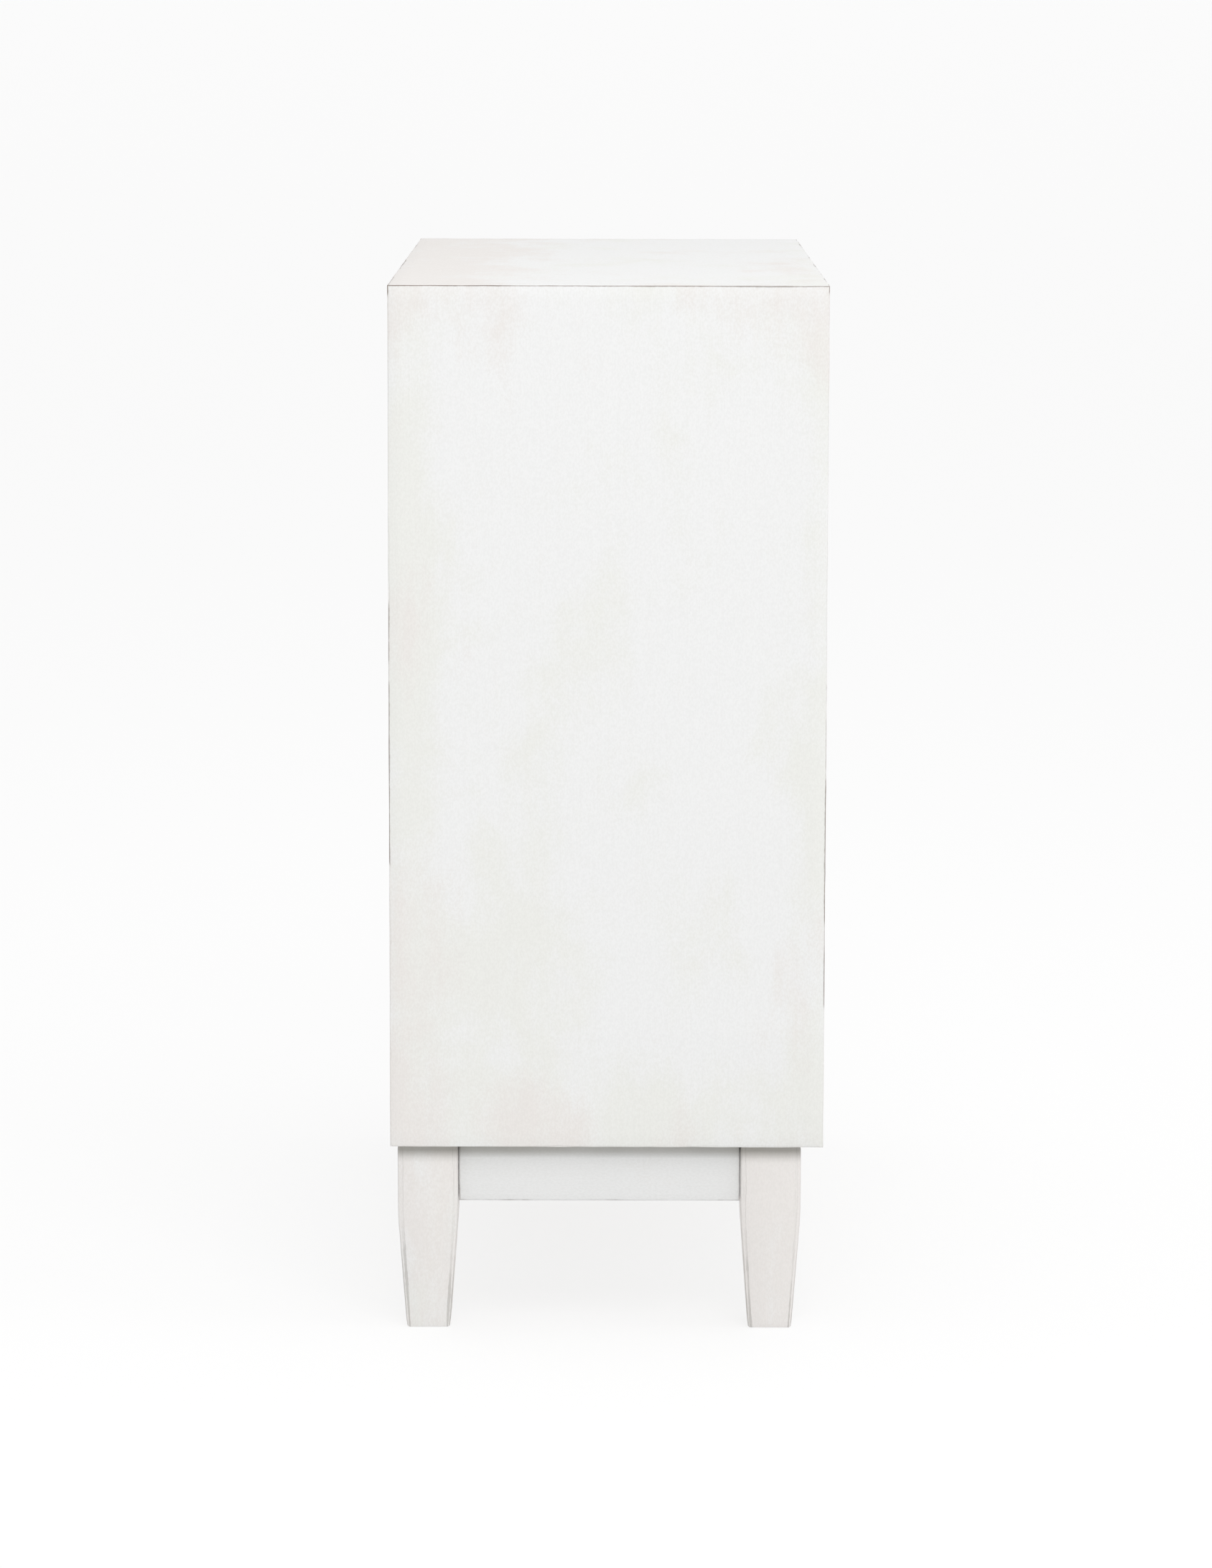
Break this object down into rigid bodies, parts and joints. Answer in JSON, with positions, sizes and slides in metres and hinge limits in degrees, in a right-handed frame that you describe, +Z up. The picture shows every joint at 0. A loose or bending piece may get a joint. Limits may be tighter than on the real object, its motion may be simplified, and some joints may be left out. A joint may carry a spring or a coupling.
{
  "type": "apothecary cabinet",
  "caption": "Free-standing apothecary cabinet: a mitred painted case of small set-back sliding drawers with cast label pulls, on a low base of tapered square legs.",
  "frame": {"origin": "centre of the overall box at floor level, between the feet", "axes": "+Z up, X along the cabinet's width, the drawers face -Y and open that way"},
  "size_m": [0.8, 0.356, 0.861],
  "materials": {
    "painted_wood": "antique white paint, satin to matt, rubbed back at the edges",
    "drawer_wood": "bare sealed softwood",
    "back_board": "thin painted board, matt",
    "aged_bronze": "dark antique bronze, satin"
  },
  "bodies": {
    "case": {"side_panel_left": "painted_wood", "side_panel_right": "painted_wood", "top_panel": "painted_wood", "bottom_panel": "painted_wood", "back_panel": "back_board", "shelf_1": "painted_wood", "shelf_2": "painted_wood", "shelf_3": "painted_wood", "divider_left": "painted_wood", "divider_right": "painted_wood", "leg_front_left": "painted_wood", "leg_front_right": "painted_wood", "leg_back_left": "painted_wood", "leg_back_right": "painted_wood", "apron_front": "painted_wood", "apron_back": "painted_wood", "apron_left": "painted_wood", "apron_right": "painted_wood", "corner_brace_front_left": "painted_wood", "corner_brace_front_right": "painted_wood", "corner_brace_back_left": "painted_wood", "corner_brace_back_right": "painted_wood", "cross_rail": "painted_wood"},
    "drawer_r1_c1": {"drawer_r1_c1_front": "painted_wood", "drawer_r1_c1_box": "drawer_wood", "drawer_r1_c1_pull": "aged_bronze"},
    "drawer_r1_c2": {"drawer_r1_c2_front": "painted_wood", "drawer_r1_c2_box": "drawer_wood", "drawer_r1_c2_pull": "aged_bronze"},
    "drawer_r1_c3": {"drawer_r1_c3_front": "painted_wood", "drawer_r1_c3_box": "drawer_wood", "drawer_r1_c3_pull": "aged_bronze"},
    "drawer_r2_c1": {"drawer_r2_c1_front": "painted_wood", "drawer_r2_c1_box": "drawer_wood", "drawer_r2_c1_pull": "aged_bronze"},
    "drawer_r2_c2": {"drawer_r2_c2_front": "painted_wood", "drawer_r2_c2_box": "drawer_wood", "drawer_r2_c2_pull": "aged_bronze"},
    "drawer_r2_c3": {"drawer_r2_c3_front": "painted_wood", "drawer_r2_c3_box": "drawer_wood", "drawer_r2_c3_pull": "aged_bronze"},
    "drawer_r3_c1": {"drawer_r3_c1_front": "painted_wood", "drawer_r3_c1_box": "drawer_wood", "drawer_r3_c1_pull": "aged_bronze"},
    "drawer_r3_c2": {"drawer_r3_c2_front": "painted_wood", "drawer_r3_c2_box": "drawer_wood", "drawer_r3_c2_pull": "aged_bronze"},
    "drawer_r3_c3": {"drawer_r3_c3_front": "painted_wood", "drawer_r3_c3_box": "drawer_wood", "drawer_r3_c3_pull": "aged_bronze"},
    "drawer_r4_c1": {"drawer_r4_c1_front": "painted_wood", "drawer_r4_c1_box": "drawer_wood", "drawer_r4_c1_pull": "aged_bronze"},
    "drawer_r4_c2": {"drawer_r4_c2_front": "painted_wood", "drawer_r4_c2_box": "drawer_wood", "drawer_r4_c2_pull": "aged_bronze"},
    "drawer_r4_c3": {"drawer_r4_c3_front": "painted_wood", "drawer_r4_c3_box": "drawer_wood", "drawer_r4_c3_pull": "aged_bronze"}
  },
  "joints": [
    {"name": "drawer_r1_c1_slide", "type": "slide", "parent": "case", "child": "drawer_r1_c1", "axis": [0, -1, 0], "range_m": [0, 0.21]},
    {"name": "drawer_r1_c2_slide", "type": "slide", "parent": "case", "child": "drawer_r1_c2", "axis": [0, -1, 0], "range_m": [0, 0.21]},
    {"name": "drawer_r1_c3_slide", "type": "slide", "parent": "case", "child": "drawer_r1_c3", "axis": [0, -1, 0], "range_m": [0, 0.21]},
    {"name": "drawer_r2_c1_slide", "type": "slide", "parent": "case", "child": "drawer_r2_c1", "axis": [0, -1, 0], "range_m": [0, 0.21]},
    {"name": "drawer_r2_c2_slide", "type": "slide", "parent": "case", "child": "drawer_r2_c2", "axis": [0, -1, 0], "range_m": [0, 0.21]},
    {"name": "drawer_r2_c3_slide", "type": "slide", "parent": "case", "child": "drawer_r2_c3", "axis": [0, -1, 0], "range_m": [0, 0.21]},
    {"name": "drawer_r3_c1_slide", "type": "slide", "parent": "case", "child": "drawer_r3_c1", "axis": [0, -1, 0], "range_m": [0, 0.21]},
    {"name": "drawer_r3_c2_slide", "type": "slide", "parent": "case", "child": "drawer_r3_c2", "axis": [0, -1, 0], "range_m": [0, 0.21]},
    {"name": "drawer_r3_c3_slide", "type": "slide", "parent": "case", "child": "drawer_r3_c3", "axis": [0, -1, 0], "range_m": [0, 0.21]},
    {"name": "drawer_r4_c1_slide", "type": "slide", "parent": "case", "child": "drawer_r4_c1", "axis": [0, -1, 0], "range_m": [0, 0.21]},
    {"name": "drawer_r4_c2_slide", "type": "slide", "parent": "case", "child": "drawer_r4_c2", "axis": [0, -1, 0], "range_m": [0, 0.21]},
    {"name": "drawer_r4_c3_slide", "type": "slide", "parent": "case", "child": "drawer_r4_c3", "axis": [0, -1, 0], "range_m": [0, 0.21]}
  ]
}
